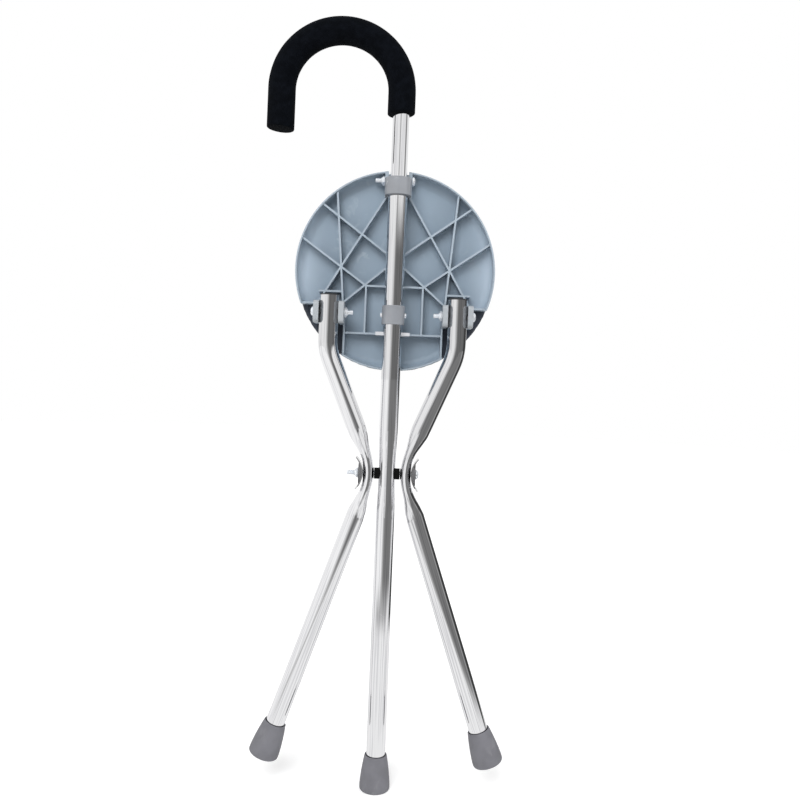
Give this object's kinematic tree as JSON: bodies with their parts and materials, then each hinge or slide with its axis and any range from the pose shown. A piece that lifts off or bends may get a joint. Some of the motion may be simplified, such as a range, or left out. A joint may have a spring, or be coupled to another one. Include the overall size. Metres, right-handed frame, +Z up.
{
  "type": "walking stick seat",
  "caption": "Walking stick with a crook handle that opens into a tripod stool, with a round ribbed seat, side legs and a sliding collar.",
  "frame": {"origin": "centre of the main foot's underside, with the seat folded flat against the stick", "axes": "+Z up the main tube towards the crook, +X away from the crook's tip, +Y from the main tube towards the seat"},
  "size_m": [0.3016, 0.064, 0.8916],
  "materials": {
    "polished_tube": "mirror polished drawn tube",
    "zinc_fasteners": "bright zinc plated steel",
    "steel_discs": "plain stamped steel",
    "grip_foam": "closed cell foam, matt",
    "shell_plastic": "moulded plastic, satin, blue-grey",
    "pad_cover": "fine textured soft cover, matt",
    "collar_plastic": "moulded plastic, matt, warm grey",
    "saddle_plastic": "moulded plastic, dark grey",
    "plug_plastic": "moulded nylon, dark",
    "foot_rubber": "moulded rubber, matt, mid grey",
    "spacer_rubber": "moulded rubber, matt, black"
  },
  "bodies": {
    "stick": {"main_tube": "polished_tube", "handle_tube": "polished_tube", "joint_rivet": "zinc_fasteners", "foam_grip": "grip_foam", "grip_end_plug": "plug_plastic", "stop_collar": "collar_plastic", "stop_collar_rivet": "zinc_fasteners", "main_foot": "foot_rubber", "main_foot_washer": "steel_discs", "cross_bolt": "zinc_fasteners", "cross_nut": "zinc_fasteners", "right_spacer": "spacer_rubber", "left_spacer": "spacer_rubber"},
    "side_legs": {"right_leg_tube": "polished_tube", "right_leg_plug": "plug_plastic", "right_foot": "foot_rubber", "right_foot_washer": "steel_discs", "right_saddle_plate": "zinc_fasteners", "right_saddle_washer": "saddle_plastic", "right_hinge_sleeve": "plug_plastic", "left_leg_tube": "polished_tube", "left_leg_plug": "plug_plastic", "left_foot": "foot_rubber", "left_foot_washer": "steel_discs", "left_saddle_plate": "zinc_fasteners", "left_saddle_washer": "saddle_plastic", "left_hinge_sleeve": "plug_plastic"},
    "seat": {"seat_shell": "shell_plastic", "seat_pad": "pad_cover", "slider_bolt": "zinc_fasteners", "slider_nut": "zinc_fasteners", "right_hinge_bolt": "zinc_fasteners", "right_hinge_nut": "zinc_fasteners", "left_hinge_bolt": "zinc_fasteners", "left_hinge_nut": "zinc_fasteners"},
    "slider": {"slider_collar": "collar_plastic"}
  },
  "joints": [
    {"name": "leg_swing", "type": "hinge", "parent": "stick", "child": "side_legs", "pos_m": [0, 0, 0.365], "axis": [-1, 0, 0], "range_deg": [0, 50.4]},
    {"name": "seat_fold", "type": "hinge", "parent": "side_legs", "child": "seat", "pos_m": [0, 0, 0.5496], "axis": [1, 0, 0], "range_deg": [0, 108.36]},
    {"name": "slider_tilt", "type": "hinge", "parent": "seat", "child": "slider", "pos_m": [0, 0.017, 0.708], "axis": [-1, 0, 0], "range_deg": [0, 57.96]}
  ],
  "couplings": [
    {"joint": "seat_fold", "follows": "leg_swing", "ratio": 2.15},
    {"joint": "slider_tilt", "follows": "leg_swing", "ratio": 1.15}
  ]
}
